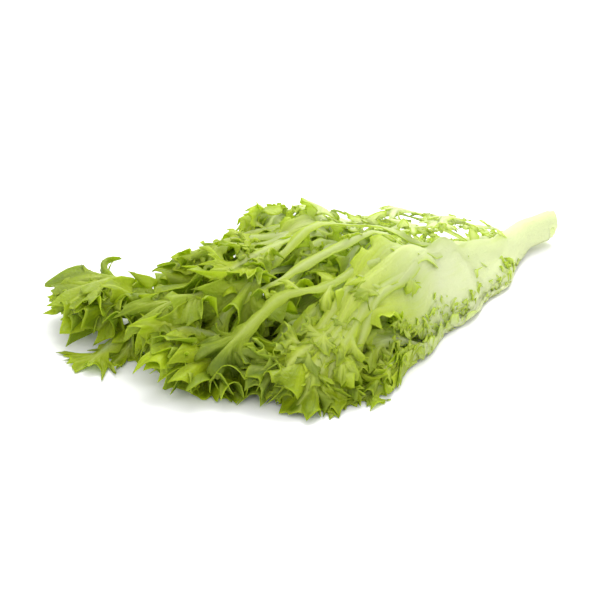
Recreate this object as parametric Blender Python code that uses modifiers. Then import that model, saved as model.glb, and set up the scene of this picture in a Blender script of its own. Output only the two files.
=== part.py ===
"""A loose head of frilly lettuce, cut at the stem and lying on a table with its leaves fanned out.

The butt is at +X and the leaf tips are at -X. Each leaf is one curved sheet that starts at the butt as a
narrow petiole and fans out. Where leaves lie over each other they share out the head's local height in
their order from the floor, so that neighbours follow the same bumps and never meet.
"""

import math

import bmesh
import bpy
from mathutils import Vector

MM = 0.001

HEAD_LENGTH = 262 * MM  # from the butt's leaf side to the furthest tip
SIDE_LENGTH = 202 * MM  # the same on the short side, towards -Y
SHORT_SIDE_FROM = 4  # degrees of heading where the head starts to get shorter
SHORT_SIDE_TO = 24
BUTT_LENGTH = 6 * MM
BUTT_HALF_WIDTH = 11 * MM
BUTT_HEIGHT = 14 * MM
BUTT_BEVEL = 1 * MM
TIP_HEIGHT = 8 * MM  # of the frilled ends at the rim
CROWN_HEIGHT = 58 * MM  # of the arched middle
CROWN_SHARE = 0.64  # of the length, where the head is highest
CROWN_LATE = 1.8  # how long the petioles stay low before the crown
CROWN_FALL = 2.2  # how late the height drops towards the rim
SIDE_FALL = 0.42  # share of the height lost from the ridge to the fan's edge
FAN_HALF_WIDTH = 86 * MM  # at the tips

RIPPLE = 5 * MM  # height of the bumps that all the layers share
RIPPLE_LENGTH = 52 * MM
RIPPLE_WIDTH = 46 * MM

RIB_THICKNESS = 2.2 * MM
MARGIN_SHARE = 0.45  # of the rib's thickness, at the leaf's margin
LAYER_FILL = 0.6  # most of the room between two layers that a sheet may take
GAP = 0.4 * MM
COVER_MARGIN = 4 * MM  # past a leaf's outline, where the leaves above still clear it
COVER_BAND = 34 * MM  # over which the leaves above settle down past that
LONE_WEIGHT = 0.5  # how soon a leaf that lies alone takes its own height
LONE_SHARE = 0.75  # of the head's local height, for a leaf that lies alone

PETIOLE_SHARE = 0.06  # of a leaf's reach, before the blade starts to open
OPEN_SHARE = 0.66  # where the blade is at its widest
LOBE_DEPTH = 0.13
LOBES_A_SIDE = 4
TIP_ROUNDING = 0.2
TIP_TAPER = 0.35

ALONG = 26
ACROSS = 8

# Name, heading at the tip in degrees (positive to -Y), reach and half width, from the floor upwards.
LEAVES = (
    ("under_leaf", 3, 186 * MM, 42 * MM),
    ("left_leaf", -14, 264 * MM, 40 * MM),
    ("side_leaf", 25, 192 * MM, 30 * MM),
    ("middle_leaf", 3, 258 * MM, 38 * MM),
    ("heart_leaf", -2, 160 * MM, 28 * MM),
    ("back_leaf", -19, 168 * MM, 30 * MM),
    ("crest_leaf", -7, 196 * MM, 38 * MM),
    ("front_leaf", 15, 226 * MM, 40 * MM),
)

LEAF_GREEN = (0.23, 0.42, 0.03)
BUTT_CREAM = (0.83, 0.85, 0.55)
SATIN = 0.45


def clear_scene():
    for old in list(bpy.data.objects):
        bpy.data.objects.remove(old, do_unlink=True)


def new_collection():
    collection = bpy.data.collections.new("lettuce_head")
    bpy.context.scene.collection.children.link(collection)
    return collection


def finish(name, colour):
    """A satin plant surface of this linear colour."""
    material = bpy.data.materials.new(name)
    material.use_nodes = True
    surface = material.node_tree.nodes["Principled BSDF"]
    surface.inputs["Base Color"].default_value = (*colour, 1)
    surface.inputs["Roughness"].default_value = SATIN
    surface.inputs["Metallic"].default_value = 0
    return material


def eased(t):
    """0 to 1 with level ends."""
    t = min(max(t, 0), 1)
    return t * t * (3 - 2 * t)


def fan_half_width(x):
    """Half the head's width at x from the butt."""
    return BUTT_HALF_WIDTH + (FAN_HALF_WIDTH - BUTT_HALF_WIDTH) * eased(x / HEAD_LENGTH) ** 0.8 + 4 * MM


def rim_distance(x, y):
    """How far the head reaches from the butt in the direction of x and y."""
    heading = math.degrees(math.atan2(y, max(x, 1 * MM)))
    shorter = eased((heading - SHORT_SIDE_FROM) / (SHORT_SIDE_TO - SHORT_SIDE_FROM))
    return HEAD_LENGTH - (HEAD_LENGTH - SIDE_LENGTH) * shorter


def crown_height(x, y):
    """Height of the head's upper surface over the floor, at x from the butt and y to the side."""
    t = min(math.hypot(x, y) / rim_distance(x, y), 1)
    if t < CROWN_SHARE:
        ridge = BUTT_HEIGHT + (CROWN_HEIGHT - BUTT_HEIGHT) * eased(t / CROWN_SHARE) ** CROWN_LATE
    else:
        fallen = ((t - CROWN_SHARE) / (1 - CROWN_SHARE)) ** CROWN_FALL
        ridge = CROWN_HEIGHT - (CROWN_HEIGHT - TIP_HEIGHT) * fallen
    beside = min(abs(y) / fan_half_width(x), 1)
    bump = math.sin(math.tau * x / RIPPLE_LENGTH) * math.cos(math.tau * y / RIPPLE_WIDTH)
    return ridge * (1 - SIDE_FALL * beside**1.5) + RIPPLE * eased(2 * t) * eased(4 - 4 * t) * bump


def leaf_turn(leaf, s):
    """The leaf's direction at s from its base, in radians towards -Y."""
    return math.radians(leaf[1]) * eased(1.6 * s)


def leaf_half_width(leaf, s):
    """Half the blade's width at s, narrow at the petiole, with shallow lobes and a tapered end."""
    opened = eased((s - PETIOLE_SHARE) / (OPEN_SHARE - PETIOLE_SHARE))
    width = BUTT_HALF_WIDTH + (leaf[3] - BUTT_HALF_WIDTH) * opened
    width *= 1 + LOBE_DEPTH * opened * math.sin(math.tau * LOBES_A_SIDE * s + leaf[1])
    return width * (1 - TIP_TAPER * eased((s - OPEN_SHARE) / (1 - OPEN_SHARE)))


def plan_point(leaf, s, v):
    """Where the leaf's point is on the floor plan, s along from 0 to 1 and v across from -1 to 1."""
    s = s * (1 - TIP_ROUNDING * s * v * v)
    turn = leaf_turn(leaf, s)
    along = Vector((math.cos(turn), math.sin(turn)))
    return along * leaf[2] * s + Vector((-along.y, along.x)) * leaf_half_width(leaf, s) * v


def coverage(leaf, x, y):
    """1 inside the leaf's outline on the plan, falling smoothly to 0 a band's width outside it."""
    s = min(math.hypot(x, y) / leaf[2], 1)
    turn = leaf_turn(leaf, s)
    along = x * math.cos(turn) + y * math.sin(turn)
    aside = abs(y * math.cos(turn) - x * math.sin(turn))
    outside = max(aside - leaf_half_width(leaf, s), along - leaf[2])
    return 1 - eased((outside - COVER_MARGIN) / COVER_BAND)


def layer_height(layer, x, y):
    """Height of a leaf whose share of the local height is the share of leaves that lie under it there."""
    if layer == 0:
        return 0
    covers = [coverage(leaf, x, y) for leaf in LEAVES]
    below = sum(covers[:layer]) + LONE_WEIGHT * LONE_SHARE
    others = sum(covers) - covers[layer] + LONE_WEIGHT
    return below / others * (crown_height(x, y) - RIB_THICKNESS)


def sheet_thickness(layer, x, y, v):
    """Thick at the rib and thin at the margin, and never more than the room to the next layer."""
    step = 1 * MM
    here = layer_height(layer, x, y)
    slope = math.hypot(layer_height(layer, x + step, y) - here, layer_height(layer, x, y + step) - here) / step
    leaves_here = sum(coverage(leaf, x, y) for leaf in LEAVES)
    room = (crown_height(x, y) - RIB_THICKNESS) / leaves_here / math.sqrt(1 + slope * slope)
    wanted = RIB_THICKNESS * (1 - (1 - MARGIN_SHARE) * min(abs(v) * 1.3, 1))
    return min(wanted, LAYER_FILL * room, room - GAP)


def leaf_sheet(leaf, layer, parent, collection, material):
    """A grid laid along the leaf's own curve at its layer's height, then given its thickness upwards."""
    mesh = bpy.data.meshes.new(leaf[0])
    grid = bmesh.new()
    bmesh.ops.create_grid(grid, x_segments=ALONG, y_segments=ACROSS, size=1)
    thickness = []
    for corner in grid.verts:
        s, v = (corner.co.x + 1) / 2, corner.co.y
        x, y = plan_point(leaf, s, v)
        thickness.append(sheet_thickness(layer, x, y, v) / RIB_THICKNESS)
        corner.co = (-x, -y, layer_height(layer, x, y))
    bmesh.ops.recalc_face_normals(grid, faces=grid.faces)
    if sum(face.normal.z for face in grid.faces) < 0:
        bmesh.ops.reverse_faces(grid, faces=grid.faces)
    grid.to_mesh(mesh)
    grid.free()
    sheet = bpy.data.objects.new(leaf[0], mesh)
    collection.objects.link(sheet)
    sheet.parent = parent
    mesh.materials.append(material)
    fullness = sheet.vertex_groups.new(name="fullness")
    for index, value in enumerate(thickness):
        fullness.add([index], value, "REPLACE")
    wall = sheet.modifiers.new("thickness", "SOLIDIFY")
    wall.thickness = RIB_THICKNESS
    wall.offset = 1
    wall.vertex_group = fullness.name
    mesh.shade_smooth()
    return sheet


def stem_butt(parent, collection, material):
    """The short cut stem that the petioles grow from, an oval disc with its cut face to +X."""
    bpy.ops.mesh.primitive_cylinder_add(
        vertices=28, radius=1, depth=BUTT_LENGTH, rotation=(0, math.pi / 2, 0)
    )
    butt = bpy.context.object
    butt.name = "stem_butt"
    bpy.ops.object.transform_apply(location=False, rotation=True, scale=False)
    butt.scale = (1, BUTT_HALF_WIDTH, BUTT_HEIGHT / 2)
    bpy.ops.object.transform_apply(location=False, rotation=False, scale=True)
    butt.location = (BUTT_LENGTH / 2 + GAP, 0, BUTT_HEIGHT / 2)
    for owner in list(butt.users_collection):
        owner.objects.unlink(butt)
    collection.objects.link(butt)
    butt.parent = parent
    butt.data.materials.append(material)
    edge = butt.modifiers.new("edge", "BEVEL")
    edge.width = BUTT_BEVEL
    edge.segments = 2
    edge.limit_method = "ANGLE"
    return butt


def stand_on_floor(parent, pieces):
    """Moves the head so that its box is centred over the origin and rests on the floor."""
    bpy.context.view_layer.update()
    graph = bpy.context.evaluated_depsgraph_get()
    corners = []
    for piece in pieces:
        shape = piece.evaluated_get(graph)
        corners += [shape.matrix_world @ Vector(corner) for corner in shape.bound_box]
    low = Vector(map(min, zip(*corners)))
    high = Vector(map(max, zip(*corners)))
    parent.location = (-(low.x + high.x) / 2, -(low.y + high.y) / 2, -low.z)


def main():
    clear_scene()
    collection = new_collection()
    head = bpy.data.objects.new("lettuce_head_origin", None)
    collection.objects.link(head)
    green = finish("leaf_green", LEAF_GREEN)
    pieces = [leaf_sheet(leaf, layer, head, collection, green) for layer, leaf in enumerate(LEAVES)]
    pieces.append(stem_butt(head, collection, finish("butt_cream", BUTT_CREAM)))
    stand_on_floor(head, pieces)


main()
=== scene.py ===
"""A loose head of frilly lettuce that lies on its side, the pale cut butt at +X and the leaf tips at -X.

Each leaf is one piece: a blade with a keeled rib, worked out on a grid along the leaf, and fan-shaped lobes
round its margin, each on a grid of its own. Blade and lobes are ruffled and toothed, and every grid is
closed into a thin solid that is thick at the ribs and thin at the margin.
"""

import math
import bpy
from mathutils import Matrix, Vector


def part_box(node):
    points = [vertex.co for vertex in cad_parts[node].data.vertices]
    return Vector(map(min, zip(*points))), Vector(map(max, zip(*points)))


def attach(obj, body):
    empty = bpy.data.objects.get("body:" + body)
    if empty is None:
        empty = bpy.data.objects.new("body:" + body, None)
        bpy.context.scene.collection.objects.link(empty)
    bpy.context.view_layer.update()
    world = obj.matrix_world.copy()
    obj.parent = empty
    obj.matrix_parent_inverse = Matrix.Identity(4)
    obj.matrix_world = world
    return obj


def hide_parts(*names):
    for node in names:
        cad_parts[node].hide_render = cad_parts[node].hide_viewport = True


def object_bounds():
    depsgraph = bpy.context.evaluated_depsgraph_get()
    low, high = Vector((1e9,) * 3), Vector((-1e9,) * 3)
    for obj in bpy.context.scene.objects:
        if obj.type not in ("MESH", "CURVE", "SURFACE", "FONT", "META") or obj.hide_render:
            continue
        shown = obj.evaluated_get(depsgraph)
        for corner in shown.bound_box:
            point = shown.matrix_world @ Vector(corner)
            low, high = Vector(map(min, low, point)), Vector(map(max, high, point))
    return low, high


bl_info = {
    "name": "Frilly Lettuce Head",
    "version": (1, 0, 0),
    "blender": (4, 5, 0),
    "location": "3D View > Sidebar > Lettuce",
    "description": "Builds the ruffled leaves, the cut butt and the stage of a loose head of lettuce",
    "category": "Add Mesh",
}

from typing import NamedTuple

import bpy
import numpy as np
from mathutils import Vector

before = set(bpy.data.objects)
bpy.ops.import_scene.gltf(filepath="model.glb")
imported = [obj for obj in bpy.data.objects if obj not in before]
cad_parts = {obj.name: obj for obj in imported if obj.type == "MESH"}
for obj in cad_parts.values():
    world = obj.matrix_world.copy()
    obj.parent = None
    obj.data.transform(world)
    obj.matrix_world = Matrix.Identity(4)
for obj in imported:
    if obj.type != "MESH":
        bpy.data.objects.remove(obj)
CAD_LOW, CAD_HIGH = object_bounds()

MM = 0.001
TAU = math.tau

# The head's plan: x runs from the butt to the tips, y to -Y, and z up. The frame gives the butt's place.
BUTT_LOW, BUTT_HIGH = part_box("stem_butt")
BUTT_GAP = 0.4 * MM
BUTT_X = BUTT_LOW.x - BUTT_GAP
BUTT_Y = (BUTT_LOW.y + BUTT_HIGH.y) / 2
BUTT_HALF_WIDTH = (BUTT_HIGH.y - BUTT_LOW.y) / 2
BUTT_HEIGHT = BUTT_HIGH.z - BUTT_LOW.z

HEAD_LENGTH = 262 * MM
SIDE_LENGTH = 202 * MM
SHORT_SIDE_FROM, SHORT_SIDE_TO = 4, 24
TIP_HEIGHT = 8 * MM
CROWN_HEIGHT = 58 * MM
CROWN_SHARE, CROWN_LATE, CROWN_FALL, SIDE_FALL = 0.64, 1.8, 2.2, 0.42
FAN_HALF_WIDTH, FAN_MARGIN = 86 * MM, 4 * MM
RIPPLE, RIPPLE_LENGTH, RIPPLE_WIDTH = 5 * MM, 52 * MM, 46 * MM
LAYER_THICKNESS = 2.2 * MM
COVER_MARGIN, COVER_BAND = 4 * MM, 34 * MM
LONE_WEIGHT, LONE_SHARE = 0.5, 0.75
PETIOLE_SHARE, OPEN_SHARE = 0.06, 0.66
LOBE_DEPTH, LOBES_A_SIDE, TIP_TAPER = 0.13, 4, 0.35


class Leaf(NamedTuple):
    """A leaf's plan: its name, its heading at the tip in degrees, how far it reaches and its half width."""

    name: str
    heading: float
    reach: float
    half_width: float


# From the floor upwards, as the solids have them. The last is the outermost, whose petiole shows.
LEAVES = (
    Leaf("under_leaf", 3, 186 * MM, 42 * MM),
    Leaf("left_leaf", -14, 264 * MM, 40 * MM),
    Leaf("side_leaf", 25, 192 * MM, 30 * MM),
    Leaf("middle_leaf", 3, 258 * MM, 38 * MM),
    Leaf("heart_leaf", -2, 160 * MM, 28 * MM),
    Leaf("back_leaf", -19, 168 * MM, 30 * MM),
    Leaf("crest_leaf", -7, 196 * MM, 38 * MM),
    Leaf("front_leaf", 15, 226 * MM, 40 * MM),
)
LAYER = {leaf.name: layer for layer, leaf in enumerate(LEAVES)}
OUTERMOST = LEAVES[-1]

# The straight near side on the plan: a line at this many degrees from the axis, which waves a little, lies
# closer in along the petiole and steps out where the front lobes begin.
NEAR_SIDE, NEAR_LEAST = 20, 3 * MM
NEAR_WAVE, NEAR_WAVE_LENGTH = 2 * MM, 41 * MM
PETIOLE_LENGTH, PETIOLE_STEP = 70 * MM, 6.5 * MM
LOBES_FROM, LOBES_RUN, LOBES_STEP = 140 * MM, 30 * MM, 8 * MM

# Where the loose leaves lie lower than the crown: the share of the height lost, and where on the plan.
TIPS_LOSS, TIPS_FROM, TIPS_RUN = 0.28, 140 * MM, 45 * MM
SHOULDER_LOSS, SHOULDER_FROM, SHOULDER_RUN = 0.36, 44 * MM, 18 * MM
SHOULDER_ENDS, SHOULDER_FADE = 204 * MM, 34 * MM
SADDLE_LOSS, SADDLE_AT, SADDLE_WIDTH = 0.4, 112 * MM, 24 * MM
SADDLE_EDGE, SADDLE_RUN = 12 * MM, 20 * MM

# Limits that leaves bend back from: where they start to, and the most. Parts of the near side's distance,
# height over the crown, and distance outside the head's box.
SIDE_SOFT, SIDE_MOST = 0.82, 1.03
CROWN_SOFT, CROWN_OVER = 13 * MM, 1 * MM
BOX_SOFT, BOX_TIPS, BOX_SIDES = 2 * MM, 12 * MM, 11 * MM

# The petioles at the butt: how far they bend aside and stand off the floor, and over what length.
BUTT_BEND, BEND_LENGTH = 5 * MM, 60 * MM
BUTT_RISE, RISE_LENGTH = 2.4 * MM, 48 * MM

# The head's outline on the plan. Its reach falls in steps as the heading turns to the near side: where each
# starts, its band in degrees and its drop. The far side draws in at a waist and flares at the left tip.
OUTLINE_OVER, FAR_SHARE = 7 * MM, 0.9
OUTLINE_STEPS = ((-17, 5, 6 * MM), (-6, 7, 19 * MM), (3, 4, 15 * MM), (16, 5, 32 * MM))
WAIST, WAIST_AT, WAIST_WIDTH = 0.1, 196 * MM, 22 * MM
FLARE, FLARE_FROM, FLARE_RUN = 0.18, 215 * MM, 30 * MM

# From white petiole to green lobes along the head, and the far side's share of the near side's green.
GREEN_FROM, GREEN_RUN = 99 * MM, 106 * MM
# The near side's extra green is painted shade: it darkens the side that turns from the window light.
FAR_GREEN, NEAR_SHADE, NEAR_SHADE_FROM, NEAR_SHADE_RUN = 0.84, 0.16, 8 * MM, 38 * MM


# ------------------
# The shape of the head, which all the leaves share


def eased(t):
    """0 to 1 with level ends."""
    t = np.clip(t, 0, 1)
    return t * t * (3 - 2 * t)


def rim_distance(x, y):
    """How far the head reaches from the butt in the direction of x and y."""
    heading = np.degrees(np.arctan2(y, np.maximum(x, 1 * MM)))
    shorter = eased((heading - SHORT_SIDE_FROM) / (SHORT_SIDE_TO - SHORT_SIDE_FROM))
    return HEAD_LENGTH - (HEAD_LENGTH - SIDE_LENGTH) * shorter


def fan_width(x):
    """Half the head's width on the plan at x, from the butt's to the widest."""
    return BUTT_HALF_WIDTH + (FAN_HALF_WIDTH - BUTT_HALF_WIDTH) * eased(x / HEAD_LENGTH) ** 0.8


def crown_height(x, y):
    """Height of the head's upper surface: a low petiole end, a crown, and a fall to the rim and sides."""
    t = np.minimum(np.hypot(x, y) / rim_distance(x, y), 1)
    rise = eased(t / CROWN_SHARE) ** CROWN_LATE
    fall = np.clip((t - CROWN_SHARE) / (1 - CROWN_SHARE), 0, 1) ** CROWN_FALL
    ridge = BUTT_HEIGHT + (CROWN_HEIGHT - BUTT_HEIGHT) * rise - (CROWN_HEIGHT - TIP_HEIGHT) * fall
    bump = np.sin(TAU * x / RIPPLE_LENGTH) * np.cos(TAU * y / RIPPLE_WIDTH)
    beside = np.minimum(np.abs(y) / (fan_width(x) + FAN_MARGIN), 1)
    return ridge * (1 - SIDE_FALL * beside**1.5) + RIPPLE * eased(2 * t) * eased(4 - 4 * t) * bump


def leaf_turn(leaf, s):
    """The leaf's direction at s from its base, in radians."""
    return math.radians(leaf.heading) * eased(1.6 * s)


def leaf_half_width(leaf, s):
    """Half the leaf's width at s."""
    opened = eased((s - PETIOLE_SHARE) / (OPEN_SHARE - PETIOLE_SHARE))
    width = BUTT_HALF_WIDTH + (leaf.half_width - BUTT_HALF_WIDTH) * opened
    width = width * (1 + LOBE_DEPTH * opened * np.sin(TAU * LOBES_A_SIDE * s + leaf.heading))
    return width * (1 - TIP_TAPER * eased((s - OPEN_SHARE) / (1 - OPEN_SHARE)))


def coverage(leaf, x, y):
    """1 inside the leaf's outline on the plan, falling smoothly to 0 a band's width outside it."""
    s = np.minimum(np.hypot(x, y) / leaf.reach, 1)
    turn = leaf_turn(leaf, s)
    along = x * np.cos(turn) + y * np.sin(turn)
    aside = np.abs(y * np.cos(turn) - x * np.sin(turn))
    outside = np.maximum(aside - leaf_half_width(leaf, s), along - leaf.reach)
    return 1 - eased((outside - COVER_MARGIN) / COVER_BAND)


def layer_height(layer, x, y):
    """Height of a leaf: the crown's height times the share of the leaves there that lie under it."""
    if layer == 0:
        return np.zeros(np.broadcast(x, y).shape)
    covers = [coverage(leaf, x, y) for leaf in LEAVES]
    below = sum(covers[:layer]) + LONE_WEIGHT * LONE_SHARE
    others = sum(covers) - covers[layer] + LONE_WEIGHT
    return below / others * (crown_height(x, y) - LAYER_THICKNESS)


# ------------------
# Sheets: a grid of points with a thickness and the values that its colour follows


def normalised(vectors):
    return vectors / np.maximum(np.linalg.norm(vectors, axis=-1, keepdims=True), 1e-12)


def grid_normals(points):
    """The cross product of the grid's two directions at each point."""
    return normalised(np.cross(np.gradient(points, axis=0), np.gradient(points, axis=1)))


def wander(t, rng, step, size=1.0):
    """A smooth random curve over t: three sines of about this step with random phases."""
    curve = 0
    for octave in (0.6, 1.0, 1.7):
        curve = curve + np.sin(TAU * t * octave / step + rng.uniform(0, TAU)) / octave
    return size * curve / 2.5


def teeth(t, rng, count):
    """Round bays between pointed teeth: a power of the distance from a bay's middle, random in height."""
    place = (t + 1) / 2 * count + wander(t, rng, 0.5, 0.35)
    cell = np.floor(place).astype(int)
    heights = rng.uniform(0.45, 1.15, count + 12)
    inside = 2 * (place - cell) - 1
    height = np.where(inside < 0, heights[cell + 4], heights[cell + 5])
    return height * np.abs(inside) ** 2.6


def closed_solid(sheet):
    """The grid moved out and in along its normals by half its thickness, with a wall round its edges."""
    points, thickness = sheet["points"], sheet["thickness"][..., None]
    rows, columns = points.shape[:2]
    offset = grid_normals(points) * thickness / 2
    verts = np.concatenate([(points + offset).reshape(-1, 3), (points - offset).reshape(-1, 3)])
    index = np.arange(rows * columns).reshape(rows, columns)
    quads = np.stack([index[:-1, :-1], index[1:, :-1], index[1:, 1:], index[:-1, 1:]], -1).reshape(-1, 4)
    edge = np.concatenate([index[0, :-1], index[:-1, -1], index[-1, :0:-1], index[:0:-1, 0]])
    after = np.roll(edge, -1)
    far = rows * columns
    wall = np.stack([edge, after, after + far, edge + far], -1)
    return verts, np.concatenate([quads, quads[:, ::-1] + far, wall])


def mesh_piece(name, sheets, material):
    """One object from many sheets, each closed, with their colour values as point attributes."""
    verts, faces, flow, count = [], [], [], 0
    values = {"green": [], "rim": [], "vein": [], "under": []}
    for sheet in sheets:
        solid, quads = closed_solid(sheet)
        verts.append(solid)
        faces.append(quads + count)
        count += len(solid)
        half = len(solid) // 2
        for key in ("green", "rim", "vein"):
            values[key].append(np.tile(sheet[key].reshape(-1), 2))
        values["under"].append(np.repeat((1.0, 0.0) if sheet["flip"] else (0.0, 1.0), half))
        flow.append(np.tile(sheet["flow"].reshape(-1, 3), (2, 1)))
    piece = mesh_object(name, np.concatenate(verts), np.concatenate(faces), material)
    for key, parts in values.items():
        store = piece.data.attributes.new(key, "FLOAT", "POINT")
        store.data.foreach_set("value", np.concatenate(parts).astype(np.float32))
    store = piece.data.attributes.new("flow", "FLOAT_VECTOR", "POINT")
    store.data.foreach_set("vector", np.concatenate(flow).astype(np.float32).reshape(-1))
    return piece


def mesh_object(name, verts, faces, material, caps=()):
    """One smooth object of four-sided faces, and of a many-sided cap for each ring of vertices given."""
    corners = np.concatenate([faces.reshape(-1), *caps]).astype(np.int32)
    starts = np.cumsum([0] + [4] * len(faces) + [len(cap) for cap in caps])[:-1].astype(np.int32)
    mesh = bpy.data.meshes.new(name)
    mesh.vertices.add(len(verts))
    mesh.vertices.foreach_set("co", verts.astype(np.float32).reshape(-1))
    mesh.loops.add(len(corners))
    mesh.loops.foreach_set("vertex_index", corners)
    mesh.polygons.add(len(starts))
    mesh.polygons.foreach_set("loop_start", starts)
    mesh.update(calc_edges=True)
    mesh.validate()
    mesh.shade_smooth()
    mesh.materials.append(material)
    piece = bpy.data.objects.new(name, mesh)
    bpy.context.scene.collection.objects.link(piece)
    return piece


def near_line(x):
    """The head's straight side on the plan: how far it lies from the axis at x."""
    petiole = eased(x / PETIOLE_LENGTH)
    waving = NEAR_WAVE * np.sin(TAU * x / NEAR_WAVE_LENGTH) * petiole
    step = LOBES_STEP * eased((x - LOBES_FROM) / LOBES_RUN) - PETIOLE_STEP * (1 - petiole)
    return np.maximum(math.tan(math.radians(NEAR_SIDE)) * x + NEAR_LEAST + step + waving, NEAR_LEAST)


def above_floor(z):
    """Heights under a few millimetres pressed smoothly into the few tenths above the floor."""
    soft, least = 4 * MM, 0.5 * MM
    low = least + (soft - least) * np.exp(np.minimum(z - soft, 0) / (soft - least))
    return np.where(z < soft, low, z)


def pressed(value, soft, most):
    """Values over the soft limit, brought smoothly under the most that is allowed."""
    over = most - (most - soft) * np.exp(-np.maximum(value - soft, 0) / (most - soft))
    return np.where(value > soft, over, value)


def slumped(x, y):
    """The share of the crown's height that the loose leaves keep: less towards the tips, past the far
    shoulder, and in a saddle between the petiole and the crest."""
    tips = TIPS_LOSS * eased((x - TIPS_FROM) / TIPS_RUN)
    shoulder = SHOULDER_LOSS * eased((-y - SHOULDER_FROM) / SHOULDER_RUN)
    shoulder = shoulder * (1 - eased((x - SHOULDER_ENDS) / SHOULDER_FADE))
    saddle = SADDLE_LOSS * np.exp(-(((x - SADDLE_AT) / SADDLE_WIDTH) ** 2))
    return 1 - tips - shoulder - saddle * eased((SADDLE_EDGE - y) / SADDLE_RUN)


def placed(points, stand):
    """From the head's plan to the frame: above the floor, within the straight side, not far above the
    crown, with the petioles bent aside and raised at the butt, and inside the head's box."""
    x, y, z = points[..., 0], points[..., 1], points[..., 2]
    side = near_line(x)
    y = pressed(y, SIDE_SOFT * side, SIDE_MOST * side)
    crown = crown_height(x, y) * slumped(x, y)
    z = pressed(above_floor(z), crown + stand - CROWN_SOFT, crown + stand + CROWN_OVER)
    y = y - BUTT_BEND * (1 - eased(x / BEND_LENGTH))
    z = z + BUTT_RISE * (1 - eased(x / RISE_LENGTH))
    x = BUTT_X - x
    y = BUTT_Y - y
    x = -pressed(-x, -CAD_LOW.x + BOX_SOFT, -CAD_LOW.x + BOX_TIPS)
    y = -pressed(-y, -CAD_LOW.y + BOX_SOFT, -CAD_LOW.y + BOX_SIDES)
    y = pressed(y, CAD_HIGH.y + BOX_SOFT, CAD_HIGH.y + BOX_SIDES)
    return np.stack([x, y, z], -1)


# ------------------
# Blades and branches

RIB_HALF_WIDTH = 2.6 * MM
BLADE_THICKNESS = 0.5 * MM
MARGIN_THICKNESS = 0.28 * MM
TOOTH_LENGTH = 8.5 * MM
FOLD_HEIGHT, FOLD_SLIDE = 2.4, 0.53  # of a wave whose sides stand upright, in parts of wavelength / tau
STEPS = 60  # of a branch's centre line

# The cut stem: its rings and the places on each, its half width, its height and how far beside the axis it
# is, how far it reaches into the petiole, where the cut face starts along its rings, and that face's dish.
BUTT_RINGS, BUTT_AROUND = 30, 56
BUTT_MIDDLE, BUTT_TOP, BUTT_ASIDE = 5.5 * MM, 14.5 * MM, 3.3 * MM
BUTT_INSIDE, FACE_FROM, FACE_DISH, FACE_LEAST = 5 * MM, 0.6, 0.8 * MM, 0.05

# The outermost leaf's flanks: the share of the height that each loses, by what power of the distance from
# the keel, and where along the leaf it stops and over what run.
NEAR_FALL, NEAR_POWER, NEAR_STOPS, NEAR_RUN = 0.93, 1.5, 0.58, 0.24
AWAY_FALL, AWAY_POWER, AWAY_STOPS, AWAY_RUN = 0.5, 1.7, 0.34, 0.3
AWAY_BREADTH = 1.6  # of the leaf's half width

# The blade: its grid, where it ends along the leaf, the length of a wave of its frill, the teeth on each
# side, how much later the outermost leaf's near margin starts to frill, and where its side ribs start.
BLADE_ROWS, BLADE_COLUMNS, BLADE_END = 120, 48, 0.9
FRILL_LENGTH, MARGIN_TEETH, NEAR_LATE = 15 * MM, 34, 0.14
SIDE_RIBS = (0.04, 0.12, 0.2, 0.28, 0.36, 0.46, 0.56, 0.66)
SIDE_RIB_HALF_WIDTH, SIDE_RIB_HEIGHT, BLADE_BULGE = 1.2 * MM, 0.9 * MM, 2.2 * MM

# Both: the rise of thickness per distance from the margin, the width of the painted highlight along the
# edge, and the length along the veins of one streak.
THICKENING, EDGE_HIGHLIGHT_WIDTH, STREAK_LENGTH = 0.3, 0.9 * MM, 9 * MM

# A branch's fan: the half width of a split between its lobes, the least outline, the fine waves on each
# wave, the half width and height of its veins, and the number of side veins. On its stalk: nicks a side,
# their depth, and the length and height of its edges' curls.
SPLIT_HALF_WIDTH, FAN_LEAST, FINE_WAVES = 0.06, 0.32, 2.7
VEIN_HALF_WIDTH, SIDE_VEIN_HALF_WIDTH, VEIN_HEIGHT, SIDE_VEINS = 1.8 * MM, 0.7 * MM, 0.35 * MM, 7
STALK_NICKS, NICK_DEPTH, CURL_LENGTH, CURL_HEIGHT = 14, 2.2 * MM, 8 * MM, 1.7 * MM

# Places along a leaf of its last branches, its frizz and the veils beside the cut, and how a branch's aim
# and length are taken back.
BRANCHES_END = 0.8
FRIZZ_FROM, FRIZZ_BAND = 0.14, 0.56
VEILS_FROM, VEILS_STEP = 0.1, 0.035
ROOM_TRIES, AIM_BACK, LENGTH_BACK = 32, 0.85, 0.98


def near_flank(s):
    """The width on the plan from the outermost leaf's rib to the head's straight side, at s along it."""
    turn = leaf_turn(OUTERMOST, s)
    x, y = np.cos(turn) * OUTERMOST.reach * s, np.sin(turn) * OUTERMOST.reach * s
    side = math.radians(NEAR_SIDE)
    return np.maximum(near_line(x) - y, 0) * math.cos(side) / np.cos(side - turn)


def blade_margin(leaf, style, s, side):
    """How far the blade's margin lies from its rib on this side, in parts of the leaf's half width: wide at
    the petiole, narrow where branches leave, least at the tip, and on the outermost leaf's near side at the
    head's straight side."""
    away = style["petiole"] - (style["petiole"] - style["blade"]) * eased((s - style["narrows"]) / 0.22)
    if leaf == OUTERMOST:
        near = near_flank(s) / leaf_half_width(leaf, s)
        near = near - np.maximum(near - style["blade"], 0) * eased((s - 0.67) / 0.14)
    else:
        near = away
    base = 0.62 + 0.38 * eased(s / 0.24)
    return np.where(side > 0, near, away * base) * (1 - 0.85 * eased((s - 0.66) / 0.26))


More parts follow.
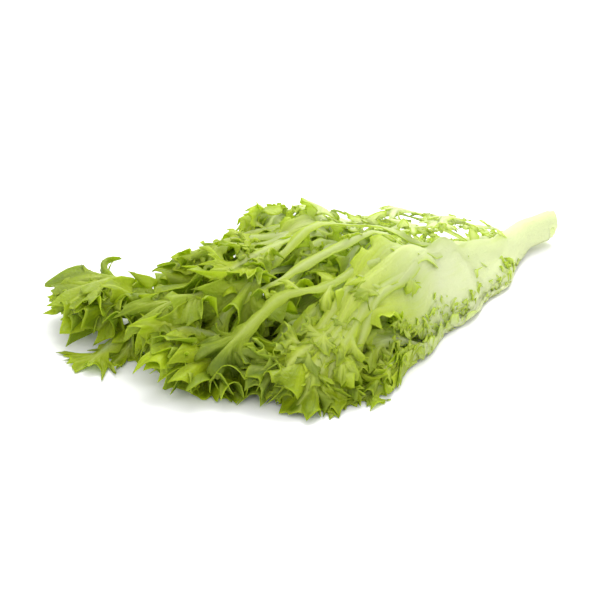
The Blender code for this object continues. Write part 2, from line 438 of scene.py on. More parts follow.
def tent(x, y):
    """The share of its height that a leaf keeps near the butt, where the outermost leaf's flanks fall from
    its keel, steeply to the floor on the near side and gently on the other, and the others lie inside."""
    s = np.hypot(x, y) / OUTERMOST.reach
    turn = leaf_turn(OUTERMOST, s)
    aside = y * np.cos(turn) - x * np.sin(turn)
    near = np.clip(aside / (near_flank(s) + 1 * MM), 0, 1) ** NEAR_POWER
    away = np.clip(-aside / (leaf_half_width(OUTERMOST, s) * AWAY_BREADTH), 0, 1) ** AWAY_POWER
    near = NEAR_FALL * (1 - eased((s - NEAR_STOPS) / NEAR_RUN)) * near
    away = AWAY_FALL * (1 - eased((s - AWAY_STOPS) / AWAY_RUN)) * away
    return 1 - near - away


def surface(layer, x, y):
    """Height of the leaf's middle surface, kept low enough towards the tips for frills to stand on it."""
    return layer_height(layer, x, y) * tent(x, y) * slumped(x, y) + LAYER_THICKNESS / 2


def spine_point(layer, s, v):
    """A point of the leaf's middle surface in the head's plan: s along, v across in half widths."""
    leaf = LEAVES[layer]
    turn = leaf_turn(leaf, s)
    wide = leaf_half_width(leaf, s) * v
    x = np.cos(turn) * leaf.reach * s - np.sin(turn) * wide
    y = np.sin(turn) * leaf.reach * s + np.cos(turn) * wide
    return np.stack([x, y, surface(layer, x, y)], -1)


def greenness(place):
    """From the near white butt to the green tips, and greener on the near side: painted shade away from the
    window.
    """
    near = eased((place[..., 1] - NEAR_SHADE_FROM) / NEAR_SHADE_RUN)
    return eased((place[..., 0] - GREEN_FROM) / GREEN_RUN) * (FAR_GREEN + NEAR_SHADE * near)


def inside_outline(x, y, margin):
    """Whether a place on the plan is this far inside the head's outline, straight on the near side."""
    waist = WAIST * math.exp(-(((x - WAIST_AT) / WAIST_WIDTH) ** 2))
    flare = FLARE * eased((x - FLARE_FROM) / FLARE_RUN)
    far = (FAR_SHARE - waist + flare) * fan_width(x)
    heading = math.degrees(math.atan2(y, x))
    reach = HEAD_LENGTH + OUTLINE_OVER
    for start, band, drop in OUTLINE_STEPS:
        reach = reach - drop * eased((heading - start) / band)
    return margin - far < y < near_line(x) - margin and math.hypot(x, y) < reach


def room(x, y, heading, aim, length, margin):
    """The aim and the length, both taken back bit by bit until the tip is inside the head's outline."""
    for _ in range(ROOM_TRIES):
        way = heading + aim
        if inside_outline(x + length * math.cos(way), y + length * math.sin(way), margin):
            break
        aim, length = aim * AIM_BACK, length * LENGTH_BACK
    return aim, length


def blade_sheet(layer, style, rng):
    """The leaf's middle: the plan's curve along s, a share of its width across v, a keel over v = 0, waves
    along the margin whose height grows with |v|, and teeth that push the margin out."""
    leaf = LEAVES[layer]
    s = np.linspace(style["start"], BLADE_END, BLADE_ROWS)[:, None]
    v = np.linspace(-1, 1, BLADE_COLUMNS)[None, :]
    side = np.sign(v)
    late = NEAR_LATE if leaf == OUTERMOST else 0.0
    opened = eased((s - style["opens"] - np.where(side > 0, late, 0.0)) / 0.25)
    narrowed = blade_margin(leaf, style, s, side)
    half = leaf_half_width(leaf, s) * narrowed
    phase = TAU * s * leaf.reach / FRILL_LENGTH + np.where(side > 0, 0.0, 2.1) + wander(s, rng, 0.2, 1.6)
    frill = 0.9 * style["frill"] * (0.1 + 0.9 * opened) * np.abs(v) ** 5
    tooth = np.where(side > 0, teeth(2 * s - 1, rng, MARGIN_TEETH), teeth(2 * s - 1, rng, MARGIN_TEETH))
    push = tooth * (0.15 + 0.45 * opened) * style["tooth_length"] / leaf_half_width(leaf, s)
    reach = narrowed * v + side * np.abs(v) ** 10 * push
    slide = FOLD_SLIDE * frill**2 * FRILL_LENGTH / TAU * np.sin(2 * phase) / leaf.reach
    points = spine_point(layer, s + slide, reach)
    rib = np.exp(-((v * half / (style["rib_half_width"] * (1.5 - s))) ** 2))
    fans = np.zeros_like(s * v)
    for start in SIDE_RIBS:
        for way in (-1, 1):
            line = way * np.maximum(s - start, 0) * rng.uniform(1.8, 3.0)
            near = (v - line) * half / SIDE_RIB_HALF_WIDTH
            fans = np.maximum(fans, np.exp(-(near**2)) * eased((s - start) / 0.05) * 0.8)
    vein = np.maximum(rib, fans)
    lift = FOLD_HEIGHT * frill * FRILL_LENGTH / TAU * np.cos(phase)
    lift = lift + BLADE_BULGE * opened * np.abs(v) * wander(s + 0.3 * v, rng, 0.2)
    lift = lift + style["keel"] * (1.1 - s) * eased((s + 0.2) / 0.35) * rib + SIDE_RIB_HEIGHT * fans
    points[..., 2] += lift
    thick = style["blade_thickness"] + (1.7 * MM * (1 - s) + 0.5 * MM) * rib + 0.4 * MM * fans
    edge = np.maximum(1 - np.abs(v), 0) * half
    thick = np.minimum(thick, style["margin_thickness"] + edge * THICKENING)
    green = greenness(points) * (0.6 + 0.4 * np.abs(v))
    # A painted highlight along the blade's opened margin.
    rim = np.exp(-edge / EDGE_HIGHLIGHT_WIDTH) * opened
    flow = np.stack([v * 16 + 0 * s, s * leaf.reach / STREAK_LENGTH + 0 * v, layer + 0 * (s + v)], -1)
    return {"points": placed(points, style["stand"]), "thickness": thick, "green": green, "rim": rim,
            "vein": vein, "flow": flow, "flip": style["flip"] > 0.5}


def centre_line(layer, start, heading, length, lift, curl, turn, roll):
    """Places, sideways and upward directions along a branch, and the step between them. Its heading turns
    steadily, and its pitch is the leaf's slope with a lift that fades and a curl that grows."""
    t = np.linspace(0, 1, STEPS)
    step = 1.25 * length / (STEPS - 1)
    way = heading + turn * t
    ahead_x, ahead_y = np.cos(way), np.sin(way)
    plan_x = start[0] + np.cumsum(ahead_x) * step
    plan_y = start[1] + np.cumsum(ahead_y) * step
    slope = np.clip(np.gradient(surface(layer, plan_x, plan_y)) / step, -1.1, 0.7)
    near = 4 * MM
    left = surface(layer, plan_x - ahead_y * near, plan_y + ahead_x * near)
    right = surface(layer, plan_x + ahead_y * near, plan_y - ahead_x * near)
    pitch = np.arctan(slope) + lift * (1 - 1.5 * t) + curl * t**2
    lean = np.clip(np.arctan((left - right) / (2 * near)), -0.6, 0.6) + roll * t
    along = np.stack([np.cos(pitch) * ahead_x, np.cos(pitch) * ahead_y, np.sin(pitch)], -1)
    level = np.stack([-ahead_y, ahead_x, 0 * t], -1)
    above = np.cross(along, level)
    lean = lean[:, None]
    beside = level * np.cos(lean) + above * np.sin(lean)
    up = above * np.cos(lean) - level * np.sin(lean)
    place = np.array(start) + np.concatenate([np.zeros((1, 3)), np.cumsum(along[1:], axis=0)]) * step
    return np.concatenate([place, beside, up], -1), step


def branch_sheet(rail, step, stalk, fan, style, rng):
    """A stalk that opens into a fan. Lines run side by side along the stalk, then spread about its end.
    Waves across the fan grow towards the margin, which has splits and rows of cusps with round bays."""
    out = 1 - (1 - np.linspace(0, 1, style["rows"])[:, None]) ** 1.3
    across = np.linspace(-1, 1, style["columns"])[None, :]
    side = np.sign(across)
    run = out * (stalk + fan)
    opened = np.clip((run - stalk) / fan, 0, 1)
    grown = np.minimum(run / stalk, 1)
    tooth_length = style["tooth"] * style["tooth_length"]

    outline = 1 - style["taper"] * np.abs(across) ** 1.7 + 0.08 * wander(across, rng, 0.9)
    for _ in range(style["splits"]):
        centre, depth = rng.uniform(-0.85, 0.85), rng.uniform(0.22, 0.5)
        outline = outline - depth * np.exp(-(((across - centre) / SPLIT_HALF_WIDTH) ** 4))
    outline = np.maximum(outline, FAN_LEAST)
    tooth = teeth(across, rng, style["teeth"])
    radius = fan * (opened + opened**3 * (outline - 1)) + tooth_length * opened**6 * tooth

    spread = math.radians(style["spread"]) * rng.uniform(0.85, 1.15)
    waves = style["waves"] * rng.uniform(0.8, 1.2)
    arc = spread * fan * opened + 0.5 * MM
    wave = 2 * arc / waves
    phase = math.pi * waves * across + rng.uniform(0, TAU) + wander(across, rng, 1.1, 1.1)
    phase = phase + rng.uniform(-1.2, 1.2) * opened
    frill = style["frill"] * opened**1.1 * (1 + 0.3 * wander(across, rng, 0.8))
    fine_phase = phase * FINE_WAVES + rng.uniform(0, TAU) + 1.5 * opened
    fine = 0.45 * style["frill"] * opened**4
    rise = frill * wave * np.cos(phase) + fine * wave / FINE_WAVES * np.cos(fine_phase)
    rise = FOLD_HEIGHT * rise / TAU
    slide = frill**2 * wave * np.sin(2 * phase) + fine**2 * wave / FINE_WAVES * np.sin(2 * fine_phase)
    slide = FOLD_SLIDE * slide / TAU
    angle = spread * opened**0.6 * across + slide / (fan * opened + 2 * MM)

    stalk_half = style["stalk"] * (1.5 - 0.9 * eased(2 * grown) + 0.7 * grown**2)
    stalk_half = stalk_half * (1 + 0.2 * wander(run / fan, rng, 0.8))
    nicks = np.where(side > 0, teeth(2 * out - 1, rng, STALK_NICKS), teeth(2 * out - 1, rng, STALK_NICKS))
    stalk_half = stalk_half + NICK_DEPTH * nicks * grown * np.abs(across) ** 4 * (1 - opened)
    curly = TAU * run / CURL_LENGTH + np.where(side > 0, 0.0, 2.0) + wander(run / fan, rng, 0.7, 1.5)
    rise = rise + CURL_HEIGHT * np.abs(across) ** 3 * np.sin(curly) * grown * (1 - opened)

    forward = np.minimum(run, stalk) + radius * np.cos(angle)
    aside = radius * np.sin(angle) + stalk_half * across

    width = arc + stalk_half
    vein = np.exp(-((across * width / (VEIN_HALF_WIDTH * (1.25 - 0.9 * opened))) ** 2))
    for centre in np.linspace(-0.85, 0.85, SIDE_VEINS):
        start = rng.uniform(0.05, 0.4)
        bent = centre * eased((opened - start * 0.3) / 0.9) ** 0.5
        near = (across - bent) * width / SIDE_VEIN_HALF_WIDTH
        vein = np.maximum(vein, 0.75 * np.exp(-(near**2)) * eased((opened - start) / 0.15))
    rise = rise + VEIN_HEIGHT * vein

    cup = style["cup"] * rng.uniform(0.2, 1.2)
    rise = rise - cup * aside**2 / (fan + np.abs(aside))

    place = np.clip(forward / step, 0, STEPS - 1.001)
    whole = place.astype(int)
    rest = (place - whole)[..., None]
    rail = rail[whole] * (1 - rest) + rail[whole + 1] * rest
    points = rail[..., :3] + aside[..., None] * rail[..., 3:6] + rise[..., None] * rail[..., 6:]

    edge = np.minimum(fan * outline + tooth_length * tooth - radius, (1 - np.abs(across)) * width)
    thick = style["blade_thickness"] + vein * (1.3 * MM * (1 - opened) + 0.25 * MM)
    thick = np.minimum(thick, style["margin_thickness"] + np.maximum(edge, 0) * THICKENING)
    green = greenness(points) * (0.62 + 0.38 * opened) + style["greener"]
    green = np.clip(green + rng.uniform(-0.1, 0.08), 0, 1)
    # A painted highlight along the fan's edges.
    rim = np.exp(-np.maximum(edge, 0) / EDGE_HIGHLIGHT_WIDTH)
    flat = 0 * (out + across)
    flow = np.stack([across * 14 + flat, run / STREAK_LENGTH + flat, rng.uniform(0, 90) + flat], -1)
    green = green * (1 - 0.45 * (1 - opened) * vein)
    return {"points": placed(points, style["stand"]), "thickness": thick, "green": green, "rim": rim,
            "vein": vein, "flow": flow, "flip": rng.uniform() < style["flip"]}


def butt_solid():
    """The cut stem: rings round a keeled section that is rounder below, from inside the petiole to the cut,
    where they turn a soft edge and shrink over a slightly dished face. Also each corner's share of it."""
    along = np.linspace(0, 1, BUTT_RINGS)[:, None]
    turn = np.linspace(0, TAU, BUTT_AROUND, endpoint=False)[None, :]
    face = np.clip((along - FACE_FROM) / (1 - FACE_FROM), 0, 1)
    shrinking = 1 - 0.08 * eased(face / 0.3) - 0.88 * face**1.3
    size = np.where(face > 0, shrinking, 0.75 + 0.25 * eased(along / 0.4))
    size = np.maximum(size, FACE_LEAST)
    skin = 1 + 0.03 * np.sin(5 * turn + 0.6) + 0.02 * np.sin(11 * turn)
    ridged = np.where(np.sin(turn) > 0, np.abs(np.sin(turn)) ** 0.8, -(np.abs(np.sin(turn)) ** 0.7))
    x = BUTT_INSIDE - (BUTT_HIGH.x - BUTT_X + BUTT_INSIDE) * eased(along / 0.68) + FACE_DISH * face**2
    y = -BUTT_ASIDE - BUTT_BEND + BUTT_MIDDLE * size * skin * np.cos(turn)
    z = BUTT_RISE + 0.2 * MM + BUTT_TOP / 2 * (1 + size * skin * ridged)
    points = np.stack([BUTT_X - x + 0 * y, BUTT_Y - y, z], -1)
    index = np.arange(BUTT_RINGS * BUTT_AROUND).reshape(BUTT_RINGS, BUTT_AROUND)
    after = np.roll(index, -1, axis=1)
    quads = np.stack([index[:-1], index[1:], after[1:], after[:-1]], -1).reshape(-1, 4)
    cut = np.repeat(eased((face - 0.1) / 0.2), BUTT_AROUND)
    return points.reshape(-1, 3), quads, (index[0], index[-1, ::-1]), cut


# How each leaf's blade and branches look, by the names that the functions use. A leaf's own entries replace
# these; angles are in degrees, "tips" are aims, and "tongues" are aims with lengths.
STYLE = {
    "seed": 1, "pairs": 5, "fan": 27 * MM, "petiole": 1.0, "blade": 0.25, "keel": 1.0 * MM, "frill": 1.0,
    "opens": 0.36, "spread": 76, "taper": 0.3, "stalk": 2.8 * MM, "waves": 2.8, "tooth": 1.0, "teeth": 9,
    "splits": 3, "rows": 22, "columns": 84, "cup": 0.35, "curl": -0.6, "lift": 0.15, "roll": 0.5,
    "first": 0.48, "aim": 40, "far": 0.6, "flip": 0.3, "greener": 0.0, "frizz": 8, "leaflets": 1,
    "narrows": 0.38, "start": 0.0, "stand": 7 * MM, "tips": (-24, 2, 27), "tongues": (),
    "near_frizz": 0.5, "near_aim": 1.0, "veils": 0,
}
STYLES = {
    "under_leaf": {"seed": 11, "pairs": 3, "fan": 24 * MM, "curl": 0.1, "first": 0.55, "frizz": 0},
    "left_leaf": {
        "seed": 12, "pairs": 6, "flip": 0.55, "curl": -0.1, "lift": 0.55, "leaflets": 0,
        "tips": (-38, -18, 2, 24), "stand": 15 * MM, "tongues": ((41, 66 * MM), (53, 56 * MM)),
    },
    "side_leaf": {"seed": 13, "fan": 18 * MM, "waves": 3.2, "first": 0.55, "frizz": 12},
    "middle_leaf": {"seed": 14, "pairs": 6, "fan": 29 * MM, "leaflets": 0, "stand": 9 * MM},
    "heart_leaf": {"seed": 15, "pairs": 4, "fan": 16 * MM, "curl": 0.2, "first": 0.6},
    "back_leaf": {
        "seed": 16, "pairs": 7, "fan": 13 * MM, "petiole": 1.3, "blade": 0.7, "narrows": 0.5, "tooth": 0.75,
        "curl": 0.2, "lift": 0.8, "roll": 1.2, "first": 0.18, "frizz": 24, "stand": 15 * MM,
        "stalk": 1.8 * MM, "leaflets": 2, "rows": 18, "columns": 60, "aim": 46, "opens": 0.2,
        "near_frizz": 0.2, "greener": -0.12,
    },
    "crest_leaf": {
        "seed": 17, "pairs": 6, "fan": 16 * MM, "tooth": 1.1, "teeth": 7, "waves": 2.0, "curl": 0.0,
        "lift": 0.2, "roll": 0.9, "first": 0.45, "aim": 32, "far": 0.85, "stalk": 2.6 * MM,
        "stand": 10 * MM,
    },
    # The front leaf's "greener" darkens its lobes a little more: painted shade, as on the near side.
    "front_leaf": {
        "seed": 18, "pairs": 6, "fan": 19 * MM, "petiole": 1.6, "keel": 7.5 * MM, "waves": 4.0,
        "curl": -1.0, "cup": 0.6, "first": 0.44, "frizz": 34, "start": -0.027, "opens": 0.4,
        "narrows": 0.3, "aim": 26, "far": 0.88, "stalk": 2.6 * MM, "near_frizz": 0.75, "near_aim": 0.35,
        "teeth": 11, "veils": 3, "greener": 0.04,
    },
}
# Small leaflets on the stalks, frizz along the petiole, long tongues at the tip, and veils beside the cut.
LEAFLET = {
    "rows": 9, "columns": 32, "teeth": 4, "splits": 0, "waves": 1.4, "stalk": 1.2 * MM, "tooth": 0.6,
    "spread": 68, "greener": 0.1, "roll": 0.9,
}
FRIZZ = {**LEAFLET, "rows": 7, "columns": 28, "teeth": 5, "stalk": 0.6 * MM, "tooth": 0.45, "greener": 0.12}
TONGUE = {"lift": 0.1, "curl": -0.5, "roll": 0.3, "stalk": 3.2 * MM, "spread": 60}
VEIL = {**LEAFLET, "spread": 50, "waves": 2.0, "tooth": 0.3, "greener": 0.0, "lift": 0.5}
VEIL_ASIDE, VEIL_AIM, VEIL_LENGTH, VEIL_FAN = -0.45, -38, 13 * MM, 8 * MM


def leaf_sheets(name, sizes):
    """The blade, then pairs of branches from its rib that all reach for the rim, with leaflets along their
    stalks, then branches and tongues at the tip, frizz along the petiole, and veils beside the cut."""
    layer, style = LAYER[name], {**STYLE, **STYLES[name]}
    for key in sizes.__annotations__:
        style[key] = getattr(sizes, key)
    leaf = LEAVES[layer]
    rng = np.random.default_rng(style["seed"])
    sheets = [blade_sheet(layer, style, rng)]

    def grow(start, heading, aim, length, fan, look, curl=0.0, free=False):
        """A branch that sets out at this aim, kept inside the head's outline unless it is free."""
        aim = math.radians(aim)
        if not free:
            aim, length = room(start[0], start[1], heading, aim, length, 0.45 * fan)
        stalk = max(length - fan, 2 * MM)
        rail, step = centre_line(
            layer, start, heading + aim, stalk + fan, look["lift"] + rng.uniform(-0.1, 0.12),
            look["curl"] + curl + rng.uniform(-0.5, 0.5), -0.3 * aim, look["roll"] * rng.uniform(-1, 1))
        sheets.append(branch_sheet(rail, step, stalk, fan, look, rng))
        return rail, heading + aim, stalk / step

    def branch(s, v, aim, length, fan):
        """A branch at s and v on the leaf, and the leaflets on its stalk."""
        heading = float(leaf_turn(leaf, s))
        start = spine_point(layer, np.float64(s), np.float64(v))
        rail, way, last = grow(start, heading, aim, length, fan, style)
        for side in (-1, 1):
            for i in range(style["leaflets"]):
                place = rail[int(last * (0.3 + 0.65 * (i + rng.uniform(0, 1)) / style["leaflets"]))]
                size = rng.uniform(0.24, 0.4) * style["fan"]
                grow(place[:3], way, side * rng.uniform(35, 75), 1.7 * size, size, {**style, **LEAFLET},
                     curl=rng.uniform(-0.3, 1.3))

    for i in range(style["pairs"]):
        share = i / max(style["pairs"] - 1, 1)
        for side in (-1, 1):
            s = style["first"] + (BRANCHES_END - style["first"]) * share + rng.uniform(-0.02, 0.02)
            length = (style["far"] * (1 - s) * leaf.reach + 18 * MM) * rng.uniform(0.85, 1.1)
            fan = style["fan"] * rng.uniform(0.8, 1.15) * (0.85 + 0.15 * share)
            aim = side * (style["aim"] - 10 * share + rng.uniform(-8, 8))
            branch(s, side * 0.1, aim * (style["near_aim"] if side > 0 else 1.0), length, fan)
    for aim in style["tips"]:
        length = (0.2 * leaf.reach + 12 * MM) * rng.uniform(0.9, 1.1)
        branch(BRANCHES_END, 0.0, aim, length, style["fan"])
    for aim, length in style["tongues"]:
        start = spine_point(layer, np.float64(BRANCHES_END), np.float64(0.0))
        heading = float(leaf_turn(leaf, BRANCHES_END))
        grow(start, heading, aim, length, 0.6 * style["fan"], {**style, **TONGUE}, free=True)
    for i in range(style["frizz"]):
        s = np.float64(FRIZZ_FROM + FRIZZ_BAND * (i + rng.uniform(0, 1)) / style["frizz"])
        side = 1 if rng.uniform() < style["near_frizz"] else -1
        start = spine_point(layer, s, side * rng.uniform(0.8, 0.97) * blade_margin(leaf, style, s, side))
        grow(start, float(leaf_turn(leaf, s)), side * rng.uniform(15, 60), rng.uniform(6, 12) * MM,
             rng.uniform(3, 5.5) * MM, {**style, **FRIZZ}, curl=rng.uniform(-1.2, 1.8))
    for i in range(style["veils"]):
        s = np.float64(VEILS_FROM + VEILS_STEP * i)
        start = spine_point(layer, s, VEIL_ASIDE * blade_margin(leaf, style, s, -1))
        grow(start, 0.0, VEIL_AIM, VEIL_LENGTH, VEIL_FAN, {**style, **VEIL}, curl=0.4, free=True)
    return sheets


# ------------------
# Materials


def linear(hex_colour):
    """A six-digit sRGB colour as linear red, green, blue and alpha."""
    channels = [int(hex_colour[i : i + 2], 16) / 255 for i in (0, 2, 4)]
    return [c / 12.92 if c <= 0.04045 else ((c + 0.055) / 1.055) ** 2.4 for c in channels] + [1.0]


def add_node(tree, kind, settings=None, **links):
    """A shader node with its settings. Each link names an input, or its number after an i, and gives a
    value, a socket or a node."""
    node = tree.nodes.new("ShaderNode" + kind)
    for key, value in (settings or {}).items():
        setattr(node, key, value)
    for key, value in links.items():
        if key[0] == "i" and key[1:].isdigit():
            socket = node.inputs[int(key[1:])]
        else:
            socket = node.inputs[key.replace("_", " ")]
        if isinstance(value, bpy.types.Node):
            value = value.outputs[0]
        if isinstance(value, bpy.types.NodeSocket):
            tree.links.new(value, socket)
        else:
            socket.default_value = value
    return node


def ramp(tree, factor, stops):
    """A colour ramp over the factor with these places and sRGB colours."""
    node = add_node(tree, "ValToRGB", Fac=factor)
    band = node.color_ramp
    while len(band.elements) < len(stops):
        band.elements.new(0.5)
    for element, (place, colour) in zip(band.elements, stops):
        element.position = place
        element.color = linear(colour)
    return node


def maths(tree, operation, *values, clamp=False):
    """A Math node with these values, sockets or nodes."""
    inputs = {f"i{n}": value for n, value in enumerate(values)}
    return add_node(tree, "Math", {"operation": operation, "use_clamp": clamp}, **inputs)


def mixed(tree, share, first, second):
    """The first colour, which goes to the second by this share."""
    return add_node(tree, "Mix", {"data_type": "RGBA"}, i0=share, i6=first, i7=second).outputs[2]


def attribute(tree, name, output="Fac"):
    """A value that the mesh stores under this name."""
    return add_node(tree, "Attribute", {"attribute_name": name}).outputs[output]


def lettuce_leaf(settings):
    """Fresh lettuce blade: a waxy, wet-looking skin over thin green tissue that lets light through. It goes
    from near white at the petiole to grass green at the margin, with paler veins, a paler underside, a
    painted highlight along the edges, and painted shade where the near side's extra green darkens it."""
    material = bpy.data.materials.new("fresh_lettuce_blade")
    material.use_nodes = True
    tree = material.node_tree
    tree.nodes.clear()
    green, rim, vein = attribute(tree, "green"), attribute(tree, "rim"), attribute(tree, "vein")
    place = add_node(tree, "TexCoord").outputs["Object"]
    # Blotches about 18 mm across, and streaks that follow the veins and are fainter on the white petiole.
    blotch = add_node(tree, "TexNoise", Vector=place, Scale=55.0, Detail=4.0, Roughness=0.6)
    along = add_node(tree, "Mapping", Vector=attribute(tree, "flow", "Vector"), Scale=(1.0, 0.22, 1.0))
    streaks = add_node(tree, "TexNoise", Vector=along, Scale=1.0, Detail=5.0, Roughness=0.65)
    shift = maths(tree, "MULTIPLY_ADD", blotch.outputs["Fac"], 0.36, -0.18)
    streak = maths(tree, "MULTIPLY_ADD", streaks.outputs["Fac"], 0.5, shift)
    streak = maths(tree, "SUBTRACT", streak, 0.25)
    share = maths(tree, "MULTIPLY_ADD", green, 1.0, 0.5, clamp=True)
    tone = maths(tree, "MULTIPLY_ADD", streak, share, green, clamp=True)
    body = ramp(tree, tone, [
        (0.0, settings.petiole), (0.22, settings.rib), (0.48, settings.pale), (0.74, settings.blade),
        (1.0, settings.outer)])
    # The petiole's own ribs are near white, and the veins turn yellow green as the blade does.
    paler = maths(tree, "MULTIPLY", vein, maths(tree, "MULTIPLY_ADD", green, -0.3, 0.82))
    grown = maths(tree, "MULTIPLY", green, 3.0, clamp=True)
    veined = mixed(tree, grown, linear(settings.petiole), linear(settings.vein))
    veined = mixed(tree, paler, body, veined)
    # The margin colour near the edges is a painted highlight, where light catches the thin margin.
    rimmed = mixed(tree, maths(tree, "MULTIPLY", rim, 0.75), veined, linear(settings.margin))
    below = maths(tree, "MULTIPLY", attribute(tree, "under"), green)
    below = maths(tree, "MULTIPLY", below, 0.55)
    colour = mixed(tree, below, rimmed, linear(settings.underside))
    # Cells of tissue between the finest veins, about 2.5 mm, and a crinkle of 4 mm.
    cells = add_node(tree, "TexVoronoi", {"feature": "DISTANCE_TO_EDGE"}, Vector=place, Scale=420.0)
    crinkle = add_node(tree, "TexNoise", Vector=place, Scale=260.0, Detail=3.0)
    relief = maths(tree, "MULTIPLY_ADD", cells.outputs["Distance"], 1.2, crinkle.outputs["Fac"])
    relief = maths(tree, "MULTIPLY_ADD", streaks.outputs["Fac"], 2.0, relief)
    bump = add_node(tree, "Bump", Height=relief, Strength=0.5, Distance=0.0007)
    wet = maths(tree, "MULTIPLY_ADD", blotch.outputs["Fac"], 0.3, 0.22)
    skin = add_node(tree, "BsdfPrincipled", Base_Color=colour, Roughness=wet, IOR=1.34, Normal=bump)
    deeper = add_node(tree, "HueSaturation", Saturation=1.25, Value=1.15, Color=colour)
    lit = add_node(tree, "BsdfTranslucent", Color=deeper, Normal=bump)
    leaf = add_node(tree, "MixShader", i0=0.52, i1=skin, i2=lit)
    add_node(tree, "OutputMaterial", Surface=leaf)
    return material


def cut_stem(settings):
    """Cut lettuce stem: moist, pale green skin and a cut face browned a little to cream."""
    material = bpy.data.materials.new("cut_lettuce_stem")
    material.use_nodes = True
    tree = material.node_tree
    skin = tree.nodes["Principled BSDF"]
    place = add_node(tree, "TexCoord").outputs["Object"]
    # Fibres about 3 mm apart, which show as faint mottling.
    fibre = add_node(tree, "TexNoise", Vector=place, Scale=300.0, Detail=4.0)
    outside = ramp(tree, fibre.outputs["Fac"], [(0.2, settings.stem), (1.0, settings.rib)])
    inside = ramp(tree, fibre.outputs["Fac"], [(0.3, settings.cut), (0.7, settings.petiole)])
    tone = mixed(tree, attribute(tree, "cut"), outside, inside)
    bump = add_node(tree, "Bump", Height=fibre.outputs["Fac"], Strength=0.3, Distance=0.0004)
    tree.links.new(tone, skin.inputs["Base Color"])
    tree.links.new(bump.outputs[0], skin.inputs["Normal"])
    skin.inputs["Roughness"].default_value = 0.5
    return material


# ------------------
# Settings, operators and panel


def colour_of(name, default):
    """A setting for a colour."""
    description = f"{name}, as a six-digit sRGB colour"
    return bpy.props.StringProperty(name=name, description=description, default=default)


class LETTUCE_PG_colours(bpy.types.PropertyGroup):
    petiole: colour_of("Petiole", "F1F5D4")
    rib: colour_of("Rib", "DFE99E")
    pale: colour_of("Pale blade", "D6E44C")
    blade: colour_of("Blade", "B9CC20")
    outer: colour_of("Outer blade", "6C860A")
    vein: colour_of("Vein", "DEE884")
    # The margin colour is a painted highlight along the leaves' edges.
    margin: colour_of("Margin", "CCDE38")
    underside: colour_of("Underside", "8CA040")
    stem: colour_of("Stem skin", "BBC984")
    cut: colour_of("Cut face", "D9CDA0")


def length_of(name, description, default):
    """A setting for a length in metres."""
    return bpy.props.FloatProperty(
        name=name, description=description, default=default, precision=5, unit="LENGTH")


class LETTUCE_PG_sizes(bpy.types.PropertyGroup):
    tooth_length: length_of("Tooth length", "How far the margin's teeth stand out", TOOTH_LENGTH)
    blade_thickness: length_of("Blade thickness", "Thickness between the veins", BLADE_THICKNESS)
    margin_thickness: length_of("Margin thickness", "Thickness at the very edge", MARGIN_THICKNESS)
    rib_half_width: length_of("Rib half width", "Half the width of a leaf's rib", RIB_HALF_WIDTH)


class LETTUCE_PG_stage(bpy.types.PropertyGroup):
    azimuth: bpy.props.FloatProperty(
        name="Azimuth", description="Camera's turn round the head, in degrees", default=-37)
    elevation: bpy.props.FloatProperty(
        name="Elevation", description="Camera's height, in degrees", default=25)
    distance: bpy.props.FloatProperty(
        name="Distance", description="Camera to its target", default=0.65, unit="LENGTH")
    lens: bpy.props.FloatProperty(
        name="Lens", description="Focal length in mm on a 36 mm sensor", default=86.7)


class LETTUCE_OT_leaf(bpy.types.Operator):
    """Build one leaf's blade and lobes in place of its plain solid"""

    bl_idname = "lettuce.leaf"
    bl_label = "Leaf"
    node: bpy.props.StringProperty(name="Leaf", description="Which leaf to build", default="front_leaf")

    def execute(self, context):
        material = bpy.data.materials.get("fresh_lettuce_blade")
        if material is None:
            material = lettuce_leaf(context.scene.lettuce_colours)
        sheets = leaf_sheets(self.node, context.scene.lettuce_sizes)
        piece = mesh_piece(self.node + "_blade", sheets, material)
        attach(piece, "root")
        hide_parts(self.node)
        return {"FINISHED"}


class LETTUCE_OT_butt(bpy.types.Operator):
    """Build the cut stem that the petioles join"""

    bl_idname = "lettuce.butt"
    bl_label = "Butt"

    def execute(self, context):
        verts, faces, caps, cut = butt_solid()
        piece = mesh_object("cut_butt", verts, faces, cut_stem(context.scene.lettuce_colours), caps)
        store = piece.data.attributes.new("cut", "FLOAT", "POINT")
        store.data.foreach_set("value", cut.astype(np.float32))
        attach(piece, "root")
        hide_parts("stem_butt")
        return {"FINISHED"}


# The camera's target, and each light's place, size in metres and power in watts.
TARGET_BEHIND_CUT, TARGET_ASIDE, TARGET_HEIGHT = 175 * MM, 6 * MM, 20 * MM
LIGHTS = {"window": ((0.5, 0.5, 1.0), 0.9, 15), "fill": ((-0.7, -0.8, 1.0), 1.2, 4)}


def area_light(name, place, target, size, power):
    """A square light at a place, facing its target."""
    data = bpy.data.lights.new(name, "AREA")
    data.size = size
    data.energy = power
    light = bpy.data.objects.new(name, data)
    light.location = place
    light.rotation_euler = (Vector(target) - Vector(place)).to_track_quat("-Z", "Y").to_euler()
    bpy.context.scene.collection.objects.link(light)


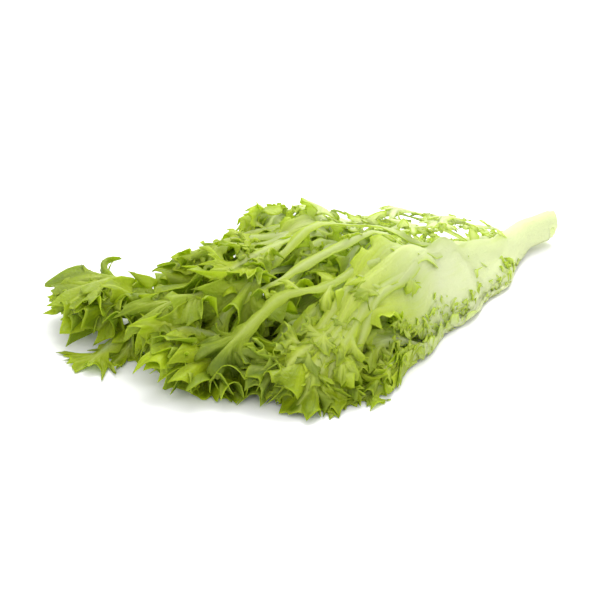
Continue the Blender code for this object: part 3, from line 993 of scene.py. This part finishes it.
class LETTUCE_OT_stage(bpy.types.Operator):
    """Make the white floor, the soft lights and the camera"""

    bl_idname = "lettuce.stage"
    bl_label = "Stage"

    def execute(self, context):
        view = context.scene.lettuce_stage
        bpy.ops.mesh.primitive_plane_add(size=8)
        floor = context.object
        floor.name = "floor"
        white = bpy.data.materials.new("white_table")
        white.use_nodes = True
        surface = white.node_tree.nodes["Principled BSDF"]
        surface.inputs["Base Color"].default_value = (0.93, 0.93, 0.93, 1)
        surface.inputs["Roughness"].default_value = 0.6
        surface.inputs["Specular IOR Level"].default_value = 0.2
        floor.data.materials.append(white)

        world = bpy.data.worlds.new("soft_room")
        world.use_nodes = True
        sky = world.node_tree.nodes["Background"]
        sky.inputs["Color"].default_value = (1, 1, 1, 1)
        sky.inputs["Strength"].default_value = 1.1
        context.scene.world = world
        for name, (place, size, power) in LIGHTS.items():
            area_light(name, place, (0, 0, 0), size, power)

        azimuth, elevation = math.radians(view.azimuth), math.radians(view.elevation)
        level = math.cos(elevation)
        back = Vector((math.sin(azimuth) * level, -math.cos(azimuth) * level, math.sin(elevation)))
        target = Vector((BUTT_HIGH.x - TARGET_BEHIND_CUT, BUTT_Y - TARGET_ASIDE, TARGET_HEIGHT))
        data = bpy.data.cameras.new("camera")
        data.lens = view.lens
        camera = bpy.data.objects.new("camera", data)
        camera.location = target + back * view.distance
        camera.rotation_euler = (-back).to_track_quat("-Z", "Y").to_euler()
        context.scene.collection.objects.link(camera)
        context.scene.camera = camera
        context.scene.view_settings.view_transform = "Standard"
        return {"FINISHED"}


class LETTUCE_PT_panel(bpy.types.Panel):
    """The steps that build the head, and its settings"""

    bl_label = "Lettuce"
    bl_idname = "LETTUCE_PT_panel"
    bl_space_type = "VIEW_3D"
    bl_region_type = "UI"
    bl_category = "Lettuce"

    def draw(self, context):
        layout = self.layout
        scene = context.scene
        for group in (scene.lettuce_sizes, scene.lettuce_colours, scene.lettuce_stage):
            for key in group.__annotations__:
                layout.prop(group, key)
        for leaf in LEAVES:
            layout.operator("lettuce.leaf", text=leaf.name).node = leaf.name
        layout.operator("lettuce.butt")
        layout.operator("lettuce.stage")


CLASSES = (
    LETTUCE_PG_sizes, LETTUCE_PG_colours, LETTUCE_PG_stage,
    LETTUCE_OT_leaf, LETTUCE_OT_butt, LETTUCE_OT_stage, LETTUCE_PT_panel,
)


def register():
    for cls in CLASSES:
        bpy.utils.register_class(cls)
    bpy.types.Scene.lettuce_sizes = bpy.props.PointerProperty(type=LETTUCE_PG_sizes)
    bpy.types.Scene.lettuce_colours = bpy.props.PointerProperty(type=LETTUCE_PG_colours)
    bpy.types.Scene.lettuce_stage = bpy.props.PointerProperty(type=LETTUCE_PG_stage)


def unregister():
    del bpy.types.Scene.lettuce_sizes
    del bpy.types.Scene.lettuce_colours
    del bpy.types.Scene.lettuce_stage
    for cls in reversed(CLASSES):
        bpy.utils.unregister_class(cls)


def main():
    register()
    bpy.ops.lettuce.stage()
    for leaf in LEAVES:
        bpy.ops.lettuce.leaf(node=leaf.name)
    bpy.ops.lettuce.butt()


if __name__ == "__main__":
    main()
